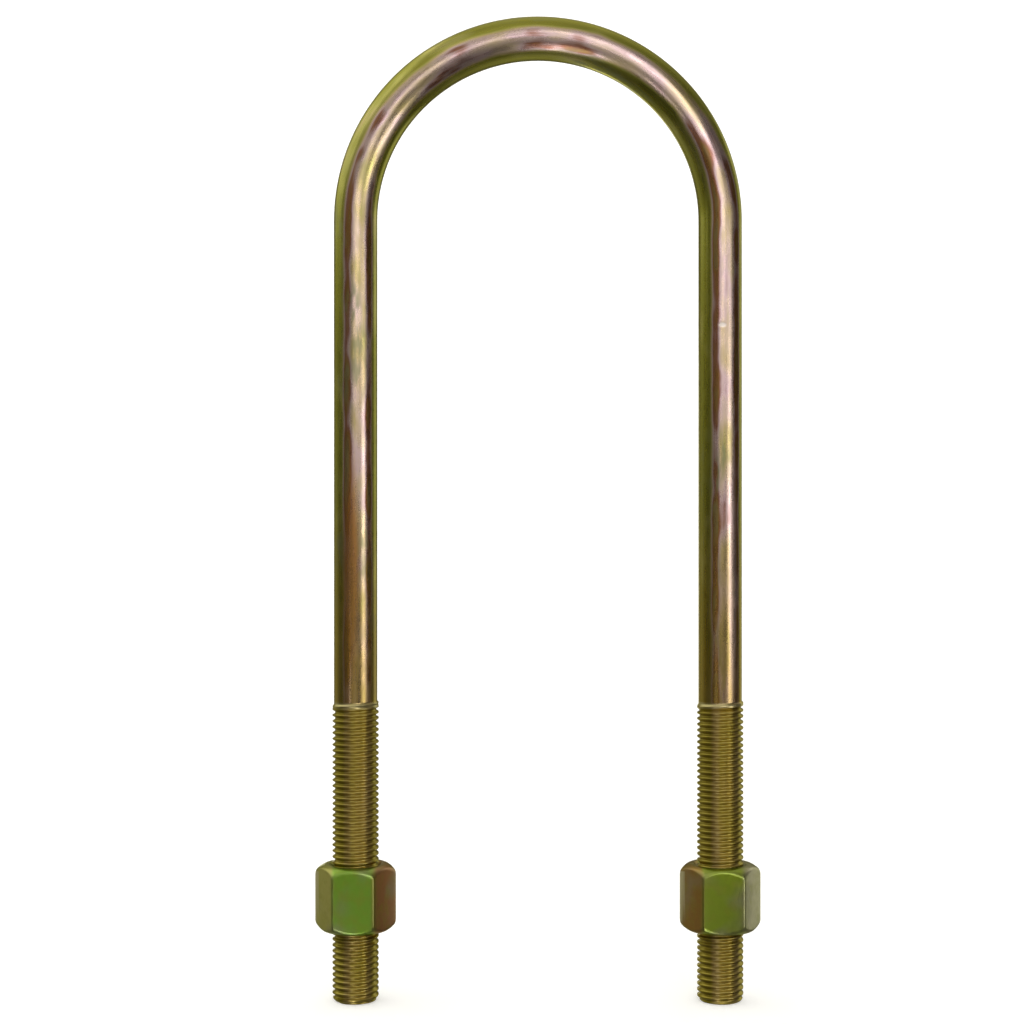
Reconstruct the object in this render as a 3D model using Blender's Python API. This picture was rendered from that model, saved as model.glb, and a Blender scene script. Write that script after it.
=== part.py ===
"""Round-bend M16 U-bolt with a tall hexagon nut on each threaded leg.

Metres, +Z up. The legs run along Z with the bend at the top, and stand side by side along X.
The origin is midway between the leg axes, on the plane of the nuts' bearing faces, which is
the underside of whatever the U-bolt clamps.
"""

import math

import bmesh
import bpy
from mathutils import Matrix, Vector

# The rod: plain bar at the pitch diameter of an M16 thread, which is rolled up out of its legs.
SHANK_DIAMETER = 0.0147
THREAD_DIAMETER = 0.016
LEG_SPACING = 0.124  # between the two leg axes, 109 mm clear inside
LEG_LENGTH = 0.265  # from a leg's end to the centre of the bend
THREAD_LENGTH = 0.102
THREAD_SHOULDER = 0.0012  # height of the cone from the thread's crests in to the shank
END_CHAMFER_RADIAL = 0.0018
END_CHAMFER_AXIAL = 0.0028

# The nuts: 24 mm across flats, and 1.4 thread diameters tall.
NUT_ACROSS_FLATS = 0.024
NUT_HEIGHT = 0.0225
NUT_LIFT = 0.024  # from a leg's end up to its nut's lower face
NUT_FACE_DIAMETER = 0.0212  # flat ring left by the chamfer on each end face
NUT_CHAMFER_ANGLE = math.radians(30.0)
NUT_CLEARANCE = 0.0003  # radial gap between the bore and the thread's crests
COUNTERSINK_DIAMETER = 0.018
COUNTERSINK_ANGLE = math.radians(45.0)

# How finely the round shapes are divided.
ROD_SEGMENTS = 32
BEND_STEPS = 48
CHAMFER_STEPS = 4
NUT_SEGMENTS = 72
TURNED_MERGE = 0.000001
SMOOTH_ANGLE = math.radians(30.0)

# Heights that follow from the sizes above.
SHANK_RADIUS = SHANK_DIAMETER / 2.0
THREAD_RADIUS = THREAD_DIAMETER / 2.0
BEND_RADIUS = LEG_SPACING / 2.0
LEG_END_Z = -(NUT_HEIGHT + NUT_LIFT)
THREAD_TOP_Z = LEG_END_Z + THREAD_LENGTH
BEND_CENTRE_Z = LEG_END_Z + LEG_LENGTH

# Colours of yellow-passivated zinc, linear RGBA.
ROD_COLOUR = (0.36, 0.29, 0.10, 1.0)
NUT_COLOUR = (0.22, 0.30, 0.07, 1.0)


def clear_scene():
    for obj in list(bpy.data.objects):
        bpy.data.objects.remove(obj, do_unlink=True)


def zinc_material(name, colour, roughness):
    material = bpy.data.materials.new(name)
    material.use_nodes = True
    shader = material.node_tree.nodes["Principled BSDF"]
    shader.inputs["Base Color"].default_value = colour
    shader.inputs["Metallic"].default_value = 1.0
    shader.inputs["Roughness"].default_value = roughness
    return material


def finish_object(bm, name, material=None, location=(0.0, 0.0, 0.0)):
    bmesh.ops.recalc_face_normals(bm, faces=bm.faces)
    mesh = bpy.data.meshes.new(name)
    bm.to_mesh(mesh)
    bm.free()
    if material:
        mesh.materials.append(material)
    mesh.shade_smooth()
    mesh.set_sharp_from_angle(angle=SMOOTH_ANGLE)
    obj = bpy.data.objects.new(name, mesh)
    obj.location = location
    bpy.context.scene.collection.objects.link(obj)
    return obj


# The rod: one ring of edges carried up a leg, round the bend and down the other leg.


def ring_vertices(ring):
    return list({vertex for edge in ring for vertex in edge.verts})


def extrude_ring(bm, ring, rise, spread=1.0):
    """Carries the ring on by `rise` along Z and scales it about its own centre."""
    made = bmesh.ops.extrude_edge_only(bm, edges=ring)["geom"]
    vertices = [item for item in made if isinstance(item, bmesh.types.BMVert)]
    new = set(vertices)
    centre = sum((vertex.co for vertex in vertices), Vector()) / len(vertices)
    about_centre = Matrix.Translation(-centre)
    bmesh.ops.scale(bm, vec=(spread, spread, 1.0), space=about_centre, verts=vertices)
    bmesh.ops.translate(bm, vec=(0.0, 0.0, rise), verts=vertices)
    edges = [item for item in made if isinstance(item, bmesh.types.BMEdge)]
    return [edge for edge in edges if set(edge.verts) <= new]


def chamfer_profile():
    """(height above the leg's end, radius) at each step of the rounded end chamfer."""
    points = []
    for step in range(CHAMFER_STEPS + 1):
        turn = math.pi / 2.0 * step / CHAMFER_STEPS
        height = END_CHAMFER_AXIAL * (1.0 - math.cos(turn))
        radius = THREAD_RADIUS - END_CHAMFER_RADIAL * (1.0 - math.sin(turn))
        points.append((height, radius))
    return points


def start_leg(bm, x):
    """The flat end of a leg and its chamfer, up to the full diameter."""
    profile = chamfer_profile()
    height, radius = profile[0]
    place = Matrix.Translation((x, 0.0, LEG_END_Z + height))
    cap = bmesh.ops.create_circle(
        bm, cap_ends=True, radius=radius, segments=ROD_SEGMENTS, matrix=place
    )
    ring = list({edge for vertex in cap["verts"] for edge in vertex.link_edges})
    for next_height, next_radius in profile[1:]:
        ring = extrude_ring(bm, ring, next_height - height, next_radius / radius)
        height, radius = next_height, next_radius
    return ring


def raise_leg(bm, ring):
    """The threaded length at its major diameter, the shoulder above it and the plain shank."""
    chamfer_top = LEG_END_Z + END_CHAMFER_AXIAL
    shoulder_foot = THREAD_TOP_Z - THREAD_SHOULDER
    ring = extrude_ring(bm, ring, shoulder_foot - chamfer_top)
    ring = extrude_ring(bm, ring, THREAD_SHOULDER, SHANK_RADIUS / THREAD_RADIUS)
    return extrude_ring(bm, ring, BEND_CENTRE_Z - THREAD_TOP_Z)


def spin_bend(bm, ring):
    """The half circle from the left leg over to the right one."""
    spun = bmesh.ops.spin(
        bm,
        geom=ring_vertices(ring) + ring,
        cent=(0.0, 0.0, BEND_CENTRE_Z),
        axis=(0.0, 1.0, 0.0),
        angle=math.pi,
        steps=BEND_STEPS,
    )
    return [item for item in spun["geom_last"] if isinstance(item, bmesh.types.BMEdge)]


def make_u_bolt():
    bm = bmesh.new()
    left_ring = raise_leg(bm, start_leg(bm, -BEND_RADIUS))
    spin_bend(bm, left_ring)
    raise_leg(bm, start_leg(bm, BEND_RADIUS))
    bmesh.ops.remove_doubles(bm, verts=bm.verts, dist=TURNED_MERGE)
    material = zinc_material("yellow_zinc_rod", ROD_COLOUR, 0.34)
    return finish_object(bm, "u_bolt", material)


# The nuts: a hexagonal bar trimmed by a chamfered turned body, then bored.


def turned_body(name, profile):
    """A closed solid of revolution about Z through (radius, z) points, as a hidden cutter."""
    bm = bmesh.new()
    vertices = [bm.verts.new((radius, 0.0, z)) for radius, z in profile]
    edges = [bm.edges.new(pair) for pair in zip(vertices, vertices[1:])]
    bmesh.ops.spin(
        bm,
        geom=vertices + edges,
        cent=(0.0, 0.0, 0.0),
        axis=(0.0, 0.0, 1.0),
        angle=math.tau,
        steps=NUT_SEGMENTS,
    )
    bmesh.ops.remove_doubles(bm, verts=bm.verts, dist=TURNED_MERGE)
    obj = finish_object(bm, name)
    obj.hide_render = True
    obj.display_type = "WIRE"
    return obj


def chamfer_envelope():
    """Cones at both ends that round off the corners of the hexagon."""
    corner_radius = NUT_ACROSS_FLATS / math.sqrt(3.0)
    outer_radius = corner_radius + 0.001
    face_radius = NUT_FACE_DIAMETER / 2.0
    depth = (outer_radius - face_radius) * math.tan(NUT_CHAMFER_ANGLE)
    profile = [
        (0.0, 0.0),
        (face_radius, 0.0),
        (outer_radius, -depth),
        (outer_radius, depth - NUT_HEIGHT),
        (face_radius, -NUT_HEIGHT),
        (0.0, -NUT_HEIGHT),
    ]
    return turned_body("nut_envelope", profile)


def bore_cutter():
    """The bore with a countersink at each face, running past both faces."""
    bore_radius = THREAD_RADIUS + NUT_CLEARANCE
    mouth_radius = COUNTERSINK_DIAMETER / 2.0
    depth = (mouth_radius - bore_radius) * math.tan(COUNTERSINK_ANGLE)
    overrun = 0.002
    profile = [
        (0.0, overrun),
        (mouth_radius, overrun),
        (mouth_radius, 0.0),
        (bore_radius, -depth),
        (bore_radius, depth - NUT_HEIGHT),
        (mouth_radius, -NUT_HEIGHT),
        (mouth_radius, -NUT_HEIGHT - overrun),
        (0.0, -NUT_HEIGHT - overrun),
    ]
    return turned_body("nut_bore", profile)


def trim(obj, cutter, operation):
    modifier = obj.modifiers.new(cutter.name, "BOOLEAN")
    modifier.operation = operation
    modifier.object = cutter
    modifier.solver = "EXACT"


def make_nut(name, x, envelope, bore):
    """A nut hanging below its bearing face, with a corner on each side along X."""
    bm = bmesh.new()
    corner_radius = NUT_ACROSS_FLATS / math.sqrt(3.0)
    corner_on_x = Matrix.Rotation(math.pi / 2.0, 4, "Z")
    bmesh.ops.create_cone(
        bm,
        cap_ends=True,
        segments=6,
        radius1=corner_radius,
        radius2=corner_radius,
        depth=NUT_HEIGHT,
        matrix=Matrix.Translation((0.0, 0.0, -NUT_HEIGHT / 2.0)) @ corner_on_x,
    )
    material = zinc_material(f"yellow_zinc_{name}", NUT_COLOUR, 0.30)
    nut = finish_object(bm, name, material, (x, 0.0, 0.0))
    for tool in (envelope, bore):
        placed = tool.copy()
        placed.name = f"{tool.name}_{name}"
        placed.location = (x, 0.0, 0.0)
        bpy.context.scene.collection.objects.link(placed)
        trim(nut, placed, "INTERSECT" if tool is envelope else "DIFFERENCE")
    return nut


def main():
    clear_scene()
    make_u_bolt()
    envelope = chamfer_envelope()
    bore = bore_cutter()
    make_nut("left_nut", -BEND_RADIUS, envelope, bore)
    make_nut("right_nut", BEND_RADIUS, envelope, bore)


main()
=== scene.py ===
"""Looks of the zinc-plated U-bolt and its two nuts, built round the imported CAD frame.

Metres, +Z up, in the CAD's own frame. The rod carries helical threads of the M16 pitch and the
nuts carry the matching internal thread, so a nut that moves by whole pitches stays in mesh.
"""

import math

import bmesh
import bpy
import numpy as np
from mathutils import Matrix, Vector


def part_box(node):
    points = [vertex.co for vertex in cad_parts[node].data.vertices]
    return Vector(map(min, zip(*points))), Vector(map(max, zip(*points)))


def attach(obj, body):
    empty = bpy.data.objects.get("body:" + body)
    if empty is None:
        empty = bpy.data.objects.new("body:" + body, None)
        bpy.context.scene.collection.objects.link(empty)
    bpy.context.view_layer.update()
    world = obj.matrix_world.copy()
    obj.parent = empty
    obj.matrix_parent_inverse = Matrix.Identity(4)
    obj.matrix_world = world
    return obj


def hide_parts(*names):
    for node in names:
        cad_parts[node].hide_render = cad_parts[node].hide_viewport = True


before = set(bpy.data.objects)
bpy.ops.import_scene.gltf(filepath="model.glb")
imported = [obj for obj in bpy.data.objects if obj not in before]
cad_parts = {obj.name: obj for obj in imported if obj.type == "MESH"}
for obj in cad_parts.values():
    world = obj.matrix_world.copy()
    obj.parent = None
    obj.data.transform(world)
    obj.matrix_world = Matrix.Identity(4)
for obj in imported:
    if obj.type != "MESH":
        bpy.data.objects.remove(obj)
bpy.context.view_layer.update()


def direction(azimuth, elevation):
    """Unit vector in degrees: azimuth 0 is towards the camera, -Y, and 90 is +X."""
    turn, rise = math.radians(azimuth), math.radians(elevation)
    level = math.cos(rise)
    return Vector((math.sin(turn) * level, -math.cos(turn) * level, math.sin(rise)))


# Places and sizes that the frame gives.
ROD_LOW, ROD_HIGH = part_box("u_bolt")
NUT_BOXES = {name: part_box(name) for name in ("left_nut", "right_nut")}
LEG_X = {name: (low.x + high.x) / 2.0 for name, (low, high) in NUT_BOXES.items()}
THREAD_RADIUS = ROD_HIGH.x - LEG_X["right_nut"]
BEND_RADIUS = (LEG_X["right_nut"] - LEG_X["left_nut"]) / 2.0
LEG_END_Z = ROD_LOW.z
NUT_TOP_Z = NUT_BOXES["left_nut"][1].z
NUT_BOTTOM_Z = NUT_BOXES["left_nut"][0].z
NUT_HALF_FLATS = NUT_BOXES["left_nut"][1].y

# The rod's own details.
SHANK_RADIUS = 0.00735
THREAD_LENGTH = 0.102
PITCH = 0.002
FLANK_SLOPE = math.sqrt(3.0)  # radius per height on a 60 degree thread
CREST_SHARE = 0.085  # half of the flat crest's width, as a share of the pitch
ROUNDING_SHARE = 0.055  # width over which a crest or a root is rounded off
ROUNDING_DEPTH = 0.00007
THREAD_DEPTH = 0.43 * PITCH  # rolled shallow, with crests that aren't filled to a point
CREST_UNDERSIZE = 0.00015  # radius that the rolled crests lack of the nominal thread
SHOULDER = 0.0007  # height over which the crests step in to the shank
SHOULDER_TILT = 0.0012  # height by which that step rises from one side of the leg to the other
RUN_OUT = 0.9 * PITCH  # height over which the groove fades out
END_CHAMFER_RADIAL = 0.0018
END_CHAMFER_AXIAL = 0.0028
THREAD_TOP_Z = LEG_END_Z + THREAD_LENGTH
BEND_CENTRE_Z = ROD_HIGH.z - BEND_RADIUS - SHANK_RADIUS
LEG_LENGTH = BEND_CENTRE_Z - LEG_END_Z
ROD_LENGTH = 2.0 * LEG_LENGTH + math.pi * BEND_RADIUS
THREAD_TURN = {"left_nut": 0.0, "right_nut": 0.39}  # turns by which each leg's thread is set round

# Marks on the rod's front, as centre and half size across, through and along the rod.
SCUFF = ((0.0, -SHANK_RADIUS, ROD_LENGTH - LEG_LENGTH + 0.036), (0.0018, 0.0035, 0.0011))
BROWN_STREAK = ((-0.0010, -SHANK_RADIUS, 0.145), (0.0036, 0.0060, 0.050))
PINK_STREAK = ((-0.0036, -0.0064, ROD_LENGTH - 0.145), (0.0019, 0.0050, 0.052))
DULL_PATCH = ((0.0012, -SHANK_RADIUS, ROD_LENGTH - 0.129), (0.0042, 0.0060, 0.034))
FILM_AND_REFLECTION_SIDE = direction(12.0, -12.0)  # the film's colour bands lie symmetrically about this side, near the camera's; they are partly painted reflection, paler where the front lights reflect and darker either side where the dark room reflects
CLOUD_OFFSET = (0.017, 0.083, 0.061)  # sets which of the film's clouds fall where

# The nuts' own details.
CORNER_ROUNDING = 0.0009
EDGE_ROUNDING = 0.00065
CORNER_SOFTENING = 0.55  # extra rounding of the chamfer for each unit beyond the flats
CHAMFER_STEPS = 5
FACE_RADIUS = 0.0106
CHAMFER_SLOPE = math.tan(math.radians(30.0))
COUNTERSINK_RADIUS = 0.009
THREAD_CLEARANCE = 0.00008

# How finely the round shapes are divided.
ROD_COLUMNS = 64
BEND_STEPS = 96
SHANK_STEPS = 24
CORNER_STEPS = 6
FLAT_STEPS = 9
WELD = 0.0000005
SMOOTH_ANGLE = math.radians(38.0)


# --- Threads -----------------------------------------------------------------------------------


def thread_profile():
    """(share of a pitch, depth below the crest) round one pitch, from crest to crest."""
    flank_start = CREST_SHARE + ROUNDING_SHARE
    flank_end = flank_start + (THREAD_DEPTH - 2.0 * ROUNDING_DEPTH) / (PITCH * FLANK_SLOPE)
    half = [
        (CREST_SHARE, 0.0),
        (flank_start, ROUNDING_DEPTH),
        (flank_end, THREAD_DEPTH - ROUNDING_DEPTH),
        (flank_end + ROUNDING_SHARE, THREAD_DEPTH),
    ]
    mirrored = [(1.0 - share, depth) for share, depth in reversed(half)]
    return half + mirrored


PROFILE = thread_profile()


def thread_depth(share):
    """Depth below the crest at each share of a pitch, 0 and 1 being the crest's middle."""
    shares = [0.0] + [point[0] for point in PROFILE] + [1.0]
    depths = [0.0] + [point[1] for point in PROFILE] + [0.0]
    return np.interp(share, shares, depths)


def smooth(value):
    value = np.clip(value, 0.0, 1.0)
    return value * value * (3.0 - 2.0 * value)


def rod_radius(z, share, angles):
    """Radius of a threaded leg: the thread, faded out at the top and rounded off at the end."""
    below = THREAD_TOP_Z - SHOULDER_TILT * (1.0 - np.cos(angles)) / 2.0 - z
    step_out = THREAD_RADIUS - CREST_UNDERSIZE - SHANK_RADIUS
    crest = SHANK_RADIUS + step_out * smooth(below / SHOULDER)
    radius = crest - thread_depth(share) * smooth((below - SHOULDER) / RUN_OUT)
    rise = np.clip((z - LEG_END_Z) / END_CHAMFER_AXIAL, 0.0, 1.0)
    end = THREAD_RADIUS - END_CHAMFER_RADIAL * (1.0 - np.sqrt(rise * (2.0 - rise)))
    return np.minimum(radius, end)


def bore_radius(z, share, _angles):
    """Radius of a nut's bore: the thread cut by a 45 degree countersink at each face."""
    thread = THREAD_RADIUS + THREAD_CLEARANCE - thread_depth(share)
    depth = np.minimum(NUT_TOP_Z - z, z - NUT_BOTTOM_Z)
    return np.maximum(thread, COUNTERSINK_RADIUS - depth)


def threaded_surface(angles, x, low_z, high_z, turn, radius_at):
    """Points and faces of a right-hand thread about a leg's axis, cut off square at both ends.

    Each row follows one point of the profile up the helix. Rows that run past an end are held at
    it, where the radius is the same all round, so they close up into one ring.
    """
    count, angles = len(PROFILE), np.array(angles)
    first = math.floor((low_z - LEG_END_Z) / PITCH) - 3
    last = math.ceil((high_z - LEG_END_Z) / PITCH) + 3
    shares = [turns + share for turns in range(first, last) for share, _ in PROFILE]
    heights = LEG_END_Z + PITCH * np.array(shares)[:, None]
    z = heights + PITCH * (angles / math.tau + turn)[None, :]
    z = np.clip(z, low_z, high_z)
    phase = (z - LEG_END_Z) / PITCH - angles[None, :] / math.tau - turn
    radius = radius_at(z, phase % 1.0, angles)
    points = np.stack(
        [x + radius * np.cos(angles), radius * np.sin(angles), z], axis=-1
    ).reshape(-1, 3)
    columns, faces = len(angles), []
    for row in range(len(shares) - count - 1):
        for column in range(columns):
            beside = row * columns + column + 1
            if column == columns - 1:
                beside = (row + count) * columns
            here = row * columns + column
            faces.append((here, beside, beside + columns, here + columns))
    return points, faces


# --- Meshes ------------------------------------------------------------------------------------


def ring_faces(rows, columns, start=0):
    """Faces between successive closed rings of points."""
    faces = []
    for row in range(rows - 1):
        for column in range(columns):
            here = start + row * columns + column
            beside = start + row * columns + (column + 1) % columns
            faces.append((here, beside, beside + columns, here + columns))
    return faces


def welded_object(name, patches):
    """One closed mesh from (points, faces) patches that meet at shared points."""
    bm = bmesh.new()
    for points, faces in patches:
        vertices = [bm.verts.new(point) for point in points]
        for face in faces:
            bm.faces.new([vertices[index] for index in face])
    bmesh.ops.remove_doubles(bm, verts=bm.verts, dist=WELD)
    bmesh.ops.dissolve_degenerate(bm, edges=bm.edges, dist=WELD)
    bmesh.ops.recalc_face_normals(bm, faces=bm.faces)
    mesh = bpy.data.meshes.new(name)
    bm.to_mesh(mesh)
    bm.free()
    mesh.shade_smooth()
    mesh.set_sharp_from_angle(angle=SMOOTH_ANGLE)
    obj = bpy.data.objects.new(name, mesh)
    bpy.context.scene.collection.objects.link(obj)
    return obj


def place(obj, body, node, material):
    obj.data.materials.append(material)
    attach(obj, body)
    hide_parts(node)


def add_attribute(obj, name, kind, values):
    attribute = obj.data.attributes.new(name, kind, "POINT")
    field = "vector" if kind == "FLOAT_VECTOR" else "value"
    attribute.data.foreach_set(field, np.asarray(values, np.float32).ravel())


def vertex_positions(obj):
    flat = np.zeros(len(obj.data.vertices) * 3)
    obj.data.vertices.foreach_get("co", flat)
    return flat.reshape(-1, 3)


# --- The rod -----------------------------------------------------------------------------------


def rod_path():
    """(centre, sideways direction) of each plain ring, from the left thread over to the right."""
    heights = np.linspace(THREAD_TOP_Z, BEND_CENTRE_Z, SHANK_STEPS, endpoint=False)
    left = [(Vector((-BEND_RADIUS, 0.0, z)), Vector((1.0, 0.0, 0.0))) for z in heights]
    right = [(Vector((BEND_RADIUS, 0.0, z)), Vector((-1.0, 0.0, 0.0))) for z in heights]
    bend = []
    for turn in np.linspace(0.0, math.pi, BEND_STEPS + 1):
        inward = Vector((math.cos(turn), 0.0, -math.sin(turn)))
        bend.append((Vector((0.0, 0.0, BEND_CENTRE_Z)) - inward * BEND_RADIUS, inward))
    return left + bend + right[::-1]


def plain_surface(angles):
    """The shanks and the bend between the two threads."""
    points = []
    path = rod_path()
    for centre, inward in path:
        for angle in angles:
            across = inward * math.cos(angle) + Vector((0.0, math.sin(angle), 0.0))
            points.append(centre + across * SHANK_RADIUS)
    return points, ring_faces(len(path), len(angles))


def end_cap(angles, x):
    """The sawn end of a leg: a shallow dish inside the chamfer's edge."""
    rim = THREAD_RADIUS - END_CHAMFER_RADIAL
    points = []
    for radius, rise in ((rim, 0.0), (rim * 0.94, 0.00008), (rim * 0.5, 0.00012)):
        for angle in angles:
            place_on_ring = (x + radius * math.cos(angle), radius * math.sin(angle))
            points.append((*place_on_ring, LEG_END_Z + rise))
    faces = ring_faces(3, len(angles))
    inner = 2 * len(angles)
    faces.append(tuple(range(inner, inner + len(angles))))
    return points, faces


def rod_space(points):
    """Each point as it would lie on the straightened rod: across, through, and along it."""
    x, y, z = points.T
    turn = np.arctan2(z - BEND_CENTRE_Z, -x)
    on_bend = z > BEND_CENTRE_Z
    leg_across = np.where(x < 0.0, x + BEND_RADIUS, BEND_RADIUS - x)
    leg_along = np.where(x < 0.0, z - LEG_END_Z, ROD_LENGTH - (z - LEG_END_Z))
    across = np.where(on_bend, BEND_RADIUS - np.hypot(x, z - BEND_CENTRE_Z), leg_across)
    along = np.where(on_bend, LEG_LENGTH + BEND_RADIUS * turn, leg_along)
    return np.stack([across, y, along], axis=-1)


def film_and_reflection_facing(points):
    """How squarely each point of the rod faces FILM_AND_REFLECTION_SIDE or its opposite, from 0 to 1."""
    height = np.maximum(points[:, 2] - BEND_CENTRE_Z, 0.0)
    centre_turn = np.arctan2(height, -points[:, 0])
    centres = np.stack(
        [
            -BEND_RADIUS * np.cos(centre_turn),
            np.zeros(len(points)),
            np.where(height > 0.0, BEND_CENTRE_Z + BEND_RADIUS * np.sin(centre_turn), points[:, 2]),
        ],
        axis=-1,
    )
    outward = points - centres
    outward /= np.linalg.norm(outward, axis=1, keepdims=True)
    return (outward @ np.array(FILM_AND_REFLECTION_SIDE)) ** 2


def make_rod(material):
    angles = [math.tau * column / ROD_COLUMNS for column in range(ROD_COLUMNS)]
    patches = [plain_surface(angles)]
    for name, x in LEG_X.items():
        turn = THREAD_TURN[name]
        patches.append(
            threaded_surface(angles, x, LEG_END_Z, THREAD_TOP_Z, turn, rod_radius)
        )
        patches.append(end_cap(angles, x))
    rod = welded_object("threaded_u_bolt", patches)
    points = vertex_positions(rod)
    add_attribute(rod, "rod_space", "FLOAT_VECTOR", rod_space(points))
    # This attribute also places painted reflection: the rod's colour is paler facing this way and
    # darker beside it.
    add_attribute(rod, "film_and_reflection_facing", "FLOAT", film_and_reflection_facing(points))
    place(rod, "u_bolt", "u_bolt", material)


# --- The nuts ----------------------------------------------------------------------------------


def nut_outline():
    """(angle, radius) round a hexagon with rounded corners, one of them on +X."""
    fillet_centre = (NUT_HALF_FLATS - CORNER_ROUNDING) / math.cos(math.pi / 6.0)
    outline = []
    for corner in range(6):
        middle = corner * math.pi / 3.0
        for step in range(CORNER_STEPS + 1):
            lean = math.pi / 3.0 * (step / CORNER_STEPS - 0.5)
            reach = complex(
                fillet_centre + CORNER_ROUNDING * math.cos(lean),
                CORNER_ROUNDING * math.sin(lean),
            )
            outline.append((middle + math.atan2(reach.imag, reach.real), abs(reach)))
        half_corner = math.atan2(reach.imag, reach.real)
        span = math.pi / 3.0 - 2.0 * half_corner
        for step in range(1, FLAT_STEPS):
            angle = half_corner + span * step / FLAT_STEPS
            radius = NUT_HALF_FLATS / math.cos(angle - math.pi / 6.0)
            outline.append((middle + angle, radius))
    return outline


def chamfer_section(radius):
    """(radius, depth below the face) from the countersink's mouth out to the flat's edge."""
    corner_depth = (radius - FACE_RADIUS) * CHAMFER_SLOPE
    rounding = EDGE_ROUNDING + CORNER_SOFTENING * (radius - NUT_HALF_FLATS)
    slope_length = rounding / math.cos(math.radians(30.0))
    section = [
        (COUNTERSINK_RADIUS, 0.0),
        (FACE_RADIUS - EDGE_ROUNDING, 0.0),
        (FACE_RADIUS, 0.3 * EDGE_ROUNDING * CHAMFER_SLOPE),
        (FACE_RADIUS + EDGE_ROUNDING, EDGE_ROUNDING * CHAMFER_SLOPE),
    ]
    inner = (radius - rounding, corner_depth - rounding * CHAMFER_SLOPE)
    outer = (radius, corner_depth + slope_length)
    for step in range(CHAMFER_STEPS + 1):
        share = step / CHAMFER_STEPS
        ease = (1.0 - share) ** 2, 2.0 * share * (1.0 - share), share**2
        section.append(
            (
                ease[0] * inner[0] + (ease[1] + ease[2]) * radius,
                ease[0] * inner[1] + ease[1] * corner_depth + ease[2] * outer[1],
            )
        )
    return section


def nut_shell(outline, x):
    """The outside of a nut from the mouth of one countersink to the mouth of the other."""
    sections = [chamfer_section(radius) for _, radius in outline]
    rows = len(sections[0])
    points = []
    for from_top in (True, False):
        for row in range(rows):
            for (angle, _), section in zip(outline, sections):
                radius, depth = section[row if from_top else rows - 1 - row]
                z = NUT_TOP_Z - depth if from_top else NUT_BOTTOM_Z + depth
                points.append((x + radius * math.cos(angle), radius * math.sin(angle), z))
    return points, ring_faces(2 * rows, len(outline))


def make_nut(name, material):
    outline = nut_outline()
    angles = [angle for angle, _ in outline]
    x = LEG_X[name]
    bore = threaded_surface(
        angles, x, NUT_BOTTOM_Z, NUT_TOP_Z, THREAD_TURN[name], bore_radius
    )
    nut = welded_object(f"threaded_{name}", [nut_shell(outline, x), bore])
    place(nut, name, name, material)


# --- Materials ---------------------------------------------------------------------------------


def add_node(tree, kind, inputs=None, **settings):
    """A node with its settings, and with each input set to a value or linked to a socket."""
    node = tree.nodes.new(kind)
    for setting, value in settings.items():
        setattr(node, setting, value)
    for key, value in (inputs or {}).items():
        if isinstance(value, bpy.types.NodeSocket):
            tree.links.new(value, node.inputs[key])
        else:
            node.inputs[key].default_value = value
    return node


def calculate(tree, operation, first, second=0.0):
    inputs = {0: first, 1: second}
    return add_node(tree, "ShaderNodeMath", inputs, operation=operation).outputs[0]


def combine(tree, operation, first, second):
    inputs = {0: first, 1: second}
    return add_node(tree, "ShaderNodeVectorMath", inputs, operation=operation).outputs[0]


def noise(tree, vector, scale, detail=3.0, roughness=0.5):
    inputs = {"Vector": vector, "Scale": scale, "Detail": detail, "Roughness": roughness}
    return add_node(tree, "ShaderNodeTexNoise", inputs).outputs["Fac"]


def remap(tree, value, low, high, to_low=0.0, to_high=1.0):
    inputs = {"Value": value, 1: low, 2: high, 3: to_low, 4: to_high}
    node = add_node(tree, "ShaderNodeMapRange", inputs, interpolation_type="SMOOTHSTEP")
    return node.outputs[0]


def mix_colours(tree, factor, first, second):
    inputs = {"Factor": factor, 6: first, 7: second}
    return add_node(tree, "ShaderNodeMix", inputs, data_type="RGBA").outputs[2]


def colour_ramp(tree, value, stops):
    node = add_node(tree, "ShaderNodeValToRGB", {"Fac": value})
    elements = node.color_ramp.elements
    while len(elements) < len(stops):
        elements.new(0.5)
    for element, (position, colour) in zip(elements, stops):
        element.position = position
        element.color = colour
    return node.outputs["Color"]


def bump(tree, height, strength, distance):
    inputs = {"Height": height, "Strength": strength, "Distance": distance}
    return add_node(tree, "ShaderNodeBump", inputs).outputs["Normal"]


def zinc_shader(name, edge_tint):
    """A metal whose film keeps its colour at a glancing angle, under a thin clear coat."""
    material = bpy.data.materials.new(name)
    material.use_nodes = True
    tree = material.node_tree
    shader = tree.nodes["Principled BSDF"]
    shader.inputs["Metallic"].default_value = 1.0
    shader.inputs["Specular Tint"].default_value = edge_tint
    shader.inputs["Coat Weight"].default_value = 0.4
    shader.inputs["Coat Roughness"].default_value = 0.16
    shader.inputs["Coat IOR"].default_value = 1.7
    return material, tree, shader


# Colours of yellow passivation as its film grows thicker, linear RGBA.
OLIVE = (0.34, 0.33, 0.032, 1.0)
YELLOW_GREEN = (0.52, 0.49, 0.13, 1.0)
GOLD = (0.65, 0.51, 0.25, 1.0)
PEACH = (0.76, 0.59, 0.45, 1.0)
PINK = (0.75, 0.55, 0.56, 1.0)
MAGENTA = (0.38, 0.16, 0.11, 1.0)
RED_BROWN = (0.35, 0.17, 0.04, 1.0)
GREY_GREEN = (0.30, 0.31, 0.15, 1.0)
LEAF_GREEN = (0.24, 0.47, 0.030, 1.0)
MOSS_GREEN = (0.30, 0.42, 0.020, 1.0)
VIOLET_GREY = (0.36, 0.33, 0.22, 1.0)
PALE_MAUVE = (0.60, 0.55, 0.40, 1.0)
DARK_BROWN = (0.36, 0.18, 0.022, 1.0)
MAUVE_BROWN = (0.45, 0.20, 0.085, 1.0)
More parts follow.
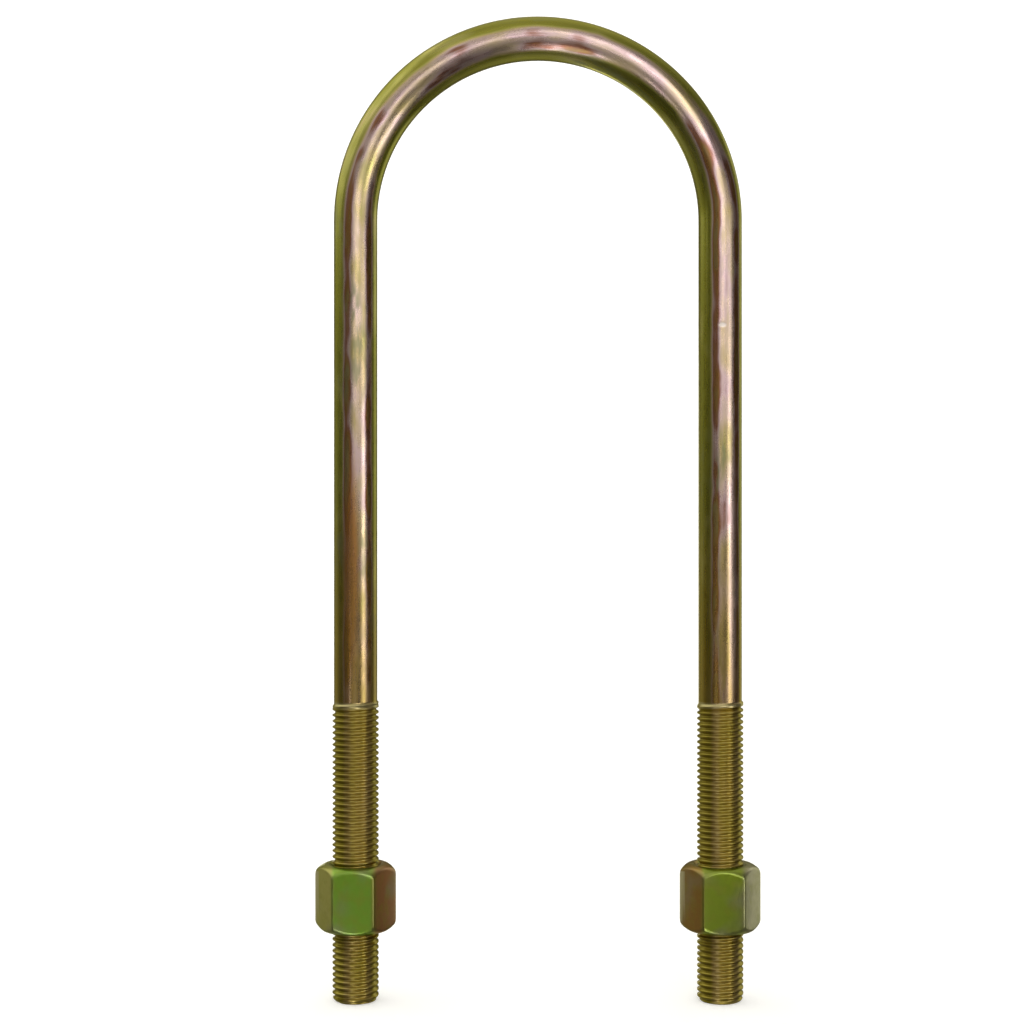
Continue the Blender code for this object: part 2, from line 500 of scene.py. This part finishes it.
GOLDEN_BROWN = (0.42, 0.25, 0.030, 1.0)
THREAD_GOLD = (0.39, 0.29, 0.018, 1.0)
TEA_BROWN = (0.50, 0.20, 0.045, 1.0)
# Lighter rubbed zinc, also laid on as a painted highlight at the threads' shoulder and on the nuts'
# edges and corners.
RUBBED_ZINC_AND_HIGHLIGHT = (0.74, 0.68, 0.42, 1.0)
BARE_ZINC = (0.88, 0.80, 0.72, 1.0)

FILM_COLOURS = [
    (0.33, OLIVE),
    (0.42, YELLOW_GREEN),
    (0.48, GOLD),
    (0.54, PEACH),
    (0.59, PINK),
    (0.64, MAGENTA),
    (0.68, RED_BROWN),
    (0.78, GREY_GREEN),
]

# Each nut: its noise offset, and the colours of its faces, its left side and its right side. The side
# colours are painted shade and reflection: darker on the side towards the other leg, lighter on the
# outer side.
NUTS = [
    ("left_nut", (0.0, 0.0, 0.0), (LEAF_GREEN, YELLOW_GREEN, MAUVE_BROWN)),
    ("right_nut", (0.31, 0.12, 0.05), (MOSS_GREEN, DARK_BROWN, PALE_MAUVE)),
]


def film_and_reflection_bands(tree, on_rod, streaks, from_end, threaded):
    """Cloudy film in bands along the rod: thin at its two sides, thickest just inside them. The bands
    are partly painted reflection: the rod is paler where it faces the front lights and darker just
    inside its sides, where the dark room reflects.
    """
    facing = add_node(tree, "ShaderNodeAttribute", attribute_name="film_and_reflection_facing").outputs["Fac"]
    on_bend = remap(tree, from_end, LEG_LENGTH - 0.02, LEG_LENGTH + 0.05)
    rise = remap(tree, on_bend, 0.0, 1.0, 0.35, 0.25)
    fall = remap(tree, on_bend, 0.0, 1.0, -0.14, -0.07)
    inner = calculate(tree, "SUBTRACT", facing, calculate(tree, "MULTIPLY", on_bend, 0.15))
    stretched = combine(tree, "MULTIPLY", on_rod, (1.0, 1.0, 0.42))
    clouds = noise(tree, combine(tree, "ADD", stretched, CLOUD_OFFSET), 120.0, 2.0)
    film = calculate(tree, "ADD", calculate(tree, "MULTIPLY", clouds, 0.48), 0.05)
    film = calculate(tree, "ADD", film, calculate(tree, "MULTIPLY", streaks, 0.08))
    film = calculate(tree, "ADD", film, remap(tree, inner, 0.40, 0.66, 0.0, rise))
    film = calculate(tree, "ADD", film, remap(tree, inner, 0.75, 0.91, 0.0, fall))
    film = calculate(tree, "ADD", film, remap(tree, from_end, 0.14, 0.18, -0.035, 0.0))
    on_thread = calculate(tree, "ADD", calculate(tree, "MULTIPLY", film, 0.45), 0.235)
    between = {"Factor": threaded, 2: film, 3: on_thread}
    return add_node(tree, "ShaderNodeMix", between).outputs[0]


def mark(tree, on_rod, place_on_rod):
    """An oval mark on the rod with soft edges, 1 at its middle."""
    centre, half_size = place_on_rod
    offset = combine(tree, "SUBTRACT", on_rod, centre)
    offset = combine(tree, "DIVIDE", offset, half_size)
    length = add_node(tree, "ShaderNodeVectorMath", {0: offset}, operation="LENGTH")
    return remap(tree, length.outputs["Value"], 0.4, 1.0, 1.0, 0.0)


def dull_spots(tree, on_rod, mottle, from_end, threaded):
    """Where the film has dulled: in spots all over, most of all in a patch on the right shank."""
    dull = noise(tree, combine(tree, "MULTIPLY", on_rod, (1.0, 1.0, 0.3)), 75.0, 2.0)
    dull = calculate(tree, "ADD", dull, remap(tree, from_end, 0.145, 0.190, 0.06, -0.05))
    patch = calculate(tree, "MULTIPLY", mark(tree, on_rod, DULL_PATCH), 0.16)
    dull = remap(tree, calculate(tree, "ADD", dull, patch), 0.50, 0.64, 0.08, 0.80)
    spots = calculate(tree, "MULTIPLY", dull, remap(tree, mottle, 0.38, 0.66))
    return calculate(tree, "MULTIPLY", spots, calculate(tree, "SUBTRACT", 1.0, threaded))


def streaked_and_tinted(tree, colour, on_rod, from_end, threaded):
    """The colour with its two streaks, turning darker and browner down the lower shank, and darker
    gold on the threads.
    """
    streak = calculate(tree, "MULTIPLY", mark(tree, on_rod, BROWN_STREAK), 0.85)
    streak = calculate(tree, "MULTIPLY", streak, calculate(tree, "SUBTRACT", 1.0, threaded))
    colour = mix_colours(tree, streak, colour, TEA_BROWN)
    lower_tint = remap(tree, from_end, 0.100, 0.185, 0.60, 0.0)
    lower_tint = calculate(tree, "ADD", lower_tint, calculate(tree, "MULTIPLY", threaded, 0.15))
    lower_tint_colour = mix_colours(tree, threaded, GOLDEN_BROWN, THREAD_GOLD)
    colour = mix_colours(tree, lower_tint, colour, lower_tint_colour)
    blush = calculate(tree, "MULTIPLY", mark(tree, on_rod, PINK_STREAK), 0.6)
    return mix_colours(tree, blush, colour, PINK)


def rod_material():
    """Yellow-passivated drawn steel: olive, gold, peach and pink clouds along the rod."""
    material, tree, shader = zinc_shader("yellow_zinc_rod_finish", (0.62, 0.60, 0.30, 1.0))
    attribute = add_node(tree, "ShaderNodeAttribute", attribute_name="rod_space")
    on_rod = attribute.outputs["Vector"]
    along = add_node(tree, "ShaderNodeSeparateXYZ", {0: on_rod}).outputs["Z"]
    from_end = calculate(tree, "MINIMUM", along, calculate(tree, "SUBTRACT", ROD_LENGTH, along))
    threaded = remap(tree, from_end, THREAD_LENGTH - 0.001, THREAD_LENGTH, 1.0, 0.0)

    streaks = noise(tree, combine(tree, "MULTIPLY", on_rod, (1.0, 1.0, 0.02)), 2200.0, 2.0)
    mottle = noise(tree, combine(tree, "MULTIPLY", on_rod, (1.0, 1.0, 0.22)), 650.0, 4.0)
    film = film_and_reflection_bands(tree, on_rod, streaks, from_end, threaded)
    colour = colour_ramp(tree, film, FILM_COLOURS)
    spots = dull_spots(tree, on_rod, mottle, from_end, threaded)
    colour = mix_colours(tree, spots, colour, GREY_GREEN)
    colour = streaked_and_tinted(tree, colour, on_rod, from_end, threaded)
    scuff = mark(tree, on_rod, SCUFF)
    colour = mix_colours(tree, scuff, colour, BARE_ZINC)
    # Partly rubbed zinc, partly painted highlight: a lighter band at the threads' shoulder, where the
    # step catches the light.
    shoulder_rub_and_highlight = remap(tree, from_end, THREAD_LENGTH - 0.0030, THREAD_LENGTH - 0.0012, 0.0, 0.5)
    shoulder_rub_and_highlight = calculate(tree, "MULTIPLY", shoulder_rub_and_highlight, threaded)
    colour = mix_colours(tree, shoulder_rub_and_highlight, colour, RUBBED_ZINC_AND_HIGHLIGHT)
    tree.links.new(colour, shader.inputs["Base Color"])
    roughness = remap(tree, mottle, 0.3, 0.7, 0.24, 0.33)
    roughness = calculate(tree, "ADD", roughness, calculate(tree, "MULTIPLY", threaded, 0.05))
    tree.links.new(roughness, shader.inputs["Roughness"])
    height = calculate(tree, "ADD", streaks, calculate(tree, "MULTIPLY", mottle, 0.5))
    height = calculate(tree, "SUBTRACT", height, calculate(tree, "MULTIPLY", scuff, 3.0))
    tree.links.new(bump(tree, height, 0.20, 0.00004), shader.inputs["Normal"])
    return material


def nut_material(name, x, offset, face, left_side_shading, right_side_shading):
    """Green-passivated nut: clouded faces, painted shade and reflection on its two sides, and edges
    and corners made lighter, partly as rubbed zinc and partly as a painted highlight.
    """
    material, tree, shader = zinc_shader(name, (0.55, 0.60, 0.25, 1.0))
    position = add_node(tree, "ShaderNodeTexCoord").outputs["Object"]
    shifted = combine(tree, "ADD", position, offset)
    clouds = noise(tree, shifted, 80.0, 1.0)
    cloudlets = noise(tree, shifted, 260.0, 3.0)
    mottle = noise(tree, shifted, 900.0, 3.0)

    parts = add_node(tree, "ShaderNodeSeparateXYZ", {0: position}).outputs
    across = calculate(tree, "SUBTRACT", parts["X"], x)
    # Painted shade and reflection: each side facet gets its own lighter or darker colour.
    colour = mix_colours(tree, remap(tree, across, -0.0060, -0.0080), face, left_side_shading)
    colour = mix_colours(tree, remap(tree, across, 0.0055, 0.0085), colour, right_side_shading)
    colour = mix_colours(tree, remap(tree, clouds, 0.46, 0.72, 0.0, 0.6), colour, VIOLET_GREY)
    colour = mix_colours(tree, remap(tree, cloudlets, 0.42, 0.70, 0.0, 0.30), colour, OLIVE)

    # Partly rubbed zinc, partly painted highlight: the sharper an edge or corner, the lighter it is
    # made.
    pointiness = add_node(tree, "ShaderNodeNewGeometry").outputs["Pointiness"]
    wear_and_highlight = calculate(
        tree,
        "ADD",
        remap(tree, pointiness, 0.505, 0.57, 0.0, 0.65),
        remap(tree, pointiness, 0.57, 0.62, 0.0, 0.30),
    )
    colour = mix_colours(tree, wear_and_highlight, colour, RUBBED_ZINC_AND_HIGHLIGHT)
    tree.links.new(colour, shader.inputs["Base Color"])
    tree.links.new(remap(tree, mottle, 0.3, 0.7, 0.30, 0.40), shader.inputs["Roughness"])
    drawn = noise(tree, combine(tree, "MULTIPLY", shifted, (1.0, 1.0, 0.03)), 1800.0, 2.0)
    height = calculate(tree, "ADD", drawn, mottle)
    tree.links.new(bump(tree, height, 0.15, 0.00004), shader.inputs["Normal"])
    return material


# --- Studio ------------------------------------------------------------------------------------

SUBJECT = Vector((0.0, 0.0, (ROD_LOW.z + ROD_HIGH.z) / 2.0))
LAMP_DISTANCE = 2.4


def softbox(name, azimuth, elevation, spread, radiance, colour):
    """A rectangular area light facing the subject, `spread` degrees wide and high as seen from it."""
    width, height = [2.0 * LAMP_DISTANCE * math.tan(math.radians(angle / 2.0)) for angle in spread]
    light = bpy.data.lights.new(name, "AREA")
    light.shape = "RECTANGLE"
    light.size = width
    light.size_y = height
    light.color = colour
    light.energy = radiance * math.pi * width * height
    lamp = bpy.data.objects.new(name, light)
    towards = direction(azimuth, elevation)
    lamp.location = SUBJECT + towards * LAMP_DISTANCE
    lamp.rotation_euler = towards.to_track_quat("Z", "Y").to_euler()
    lamp.visible_camera = False
    bpy.context.scene.collection.objects.link(lamp)


def make_lights():
    softbox("key_strip", 45.0, -1.5, (17.0, 9.0), 3.1, (1.0, 0.97, 0.95))
    softbox("low_window", 23.0, 9.0, (68.0, 9.0), 1.25, (1.0, 0.95, 0.96))
    softbox("high_window", 13.0, 24.0, (20.0, 22.0), 2.1, (1.0, 0.97, 0.97))
    softbox("low_right_window", 52.0, -14.0, (22.0, 13.0), 2.3, (1.0, 0.97, 0.86))
    softbox("low_left_strip", -26.0, -15.0, (4.0, 14.0), 2.5, (1.0, 0.95, 0.86))
    softbox("crown_window", -14.0, -51.0, (12.0, 34.0), 3.0, (1.0, 0.97, 0.92))
    softbox("left_rim", -104.0, 36.0, (58.0, 52.0), 0.66, (1.0, 1.0, 0.86))
    softbox("right_rim", 134.0, 5.0, (30.0, 50.0), 0.65, (1.0, 1.0, 0.92))
    softbox("back_strip", 195.0, -12.0, (9.0, 36.0), 1.8, (1.0, 0.96, 0.90))


# Soft glows of the room, as (azimuth, elevation, width in degrees, radiance).
GLOWS = [
    (-2.0, -14.0, 11.0, 0.36),
    (-34.0, 38.0, 24.0, 0.46),
    (-6.0, 60.0, 20.0, 0.36),
    (-125.0, -10.0, 20.0, 0.32),
    (180.0, 62.0, 30.0, 0.70),
    (175.0, -52.0, 24.0, 0.40),
]


def make_world():
    """A dim even room with a few soft glows in it."""
    world = bpy.data.worlds.new("studio")
    world.use_nodes = True
    tree = world.node_tree
    towards = add_node(tree, "ShaderNodeTexCoord").outputs["Generated"]
    total = 0.07
    for azimuth, elevation, width, radiance in GLOWS:
        facing = add_node(
            tree,
            "ShaderNodeVectorMath",
            {0: towards, 1: direction(azimuth, elevation)},
            operation="DOT_PRODUCT",
        ).outputs["Value"]
        sharpness = math.log(2.0) / (1.0 - math.cos(math.radians(width)))
        falloff = calculate(tree, "MULTIPLY", calculate(tree, "SUBTRACT", facing, 1.0), sharpness)
        glow = calculate(tree, "MULTIPLY", calculate(tree, "EXPONENT", falloff), radiance)
        total = calculate(tree, "ADD", glow, total)
    background = tree.nodes["Background"]
    background.inputs["Color"].default_value = (1.0, 0.96, 0.80, 1.0)
    tree.links.new(total, background.inputs["Strength"])
    bpy.context.scene.world = world


def pale_surface():
    """Matt white that keeps a soft contact shadow and is otherwise near white."""
    material = bpy.data.materials.new("pale_studio_surface")
    material.use_nodes = True
    shader = material.node_tree.nodes["Principled BSDF"]
    shader.inputs["Base Color"].default_value = (0.80, 0.80, 0.80, 1.0)
    shader.inputs["Roughness"].default_value = 0.9
    shader.inputs["Specular IOR Level"].default_value = 0.0
    shader.inputs["Emission Color"].default_value = (1.0, 1.0, 1.0, 1.0)
    shader.inputs["Emission Strength"].default_value = 0.35
    return material


def make_sweep():
    """A round floor that curves up into a wall all round, with the rod's ends on the floor."""
    floor_radius, wall_radius, wall_height, steps, columns = 1.6, 2.6, 3.0, 12, 72
    section = [(floor_radius, 0.0)]
    for step in range(1, steps + 1):
        turn = math.pi / 2.0 * step / steps
        curve = wall_radius - floor_radius
        section.append((floor_radius + curve * math.sin(turn), curve * (1.0 - math.cos(turn))))
    section.append((wall_radius, wall_height))
    points = []
    for radius, rise in section:
        for column in range(columns):
            angle = math.tau * column / columns
            points.append((radius * math.cos(angle), radius * math.sin(angle), LEG_END_Z + rise))
    faces = ring_faces(len(section), columns) + [tuple(range(columns))]
    sweep = welded_object("studio_sweep", [(points, faces)])
    sweep.data.materials.append(pale_surface())
    sweep.visible_glossy = False
    sweep.visible_shadow = False


def make_camera():
    """A level camera as far away as the photograph's, aimed a little left of the rod."""
    data = bpy.data.cameras.new("product_camera")
    data.lens = 65.6
    camera = bpy.data.objects.new("product_camera", data)
    camera.location = (-0.0088, -0.6348, ROD_LOW.z + 0.166)
    camera.rotation_euler = (math.pi / 2.0, 0.0, 0.0)
    bpy.context.scene.collection.objects.link(camera)
    bpy.context.scene.camera = camera


make_camera()
make_world()
make_lights()
make_sweep()
make_rod(rod_material())
for nut, offset, nut_colours in NUTS:
    make_nut(nut, nut_material(f"green_zinc_{nut}", LEG_X[nut], offset, *nut_colours))

bpy.context.scene.view_settings.view_transform = "Standard"
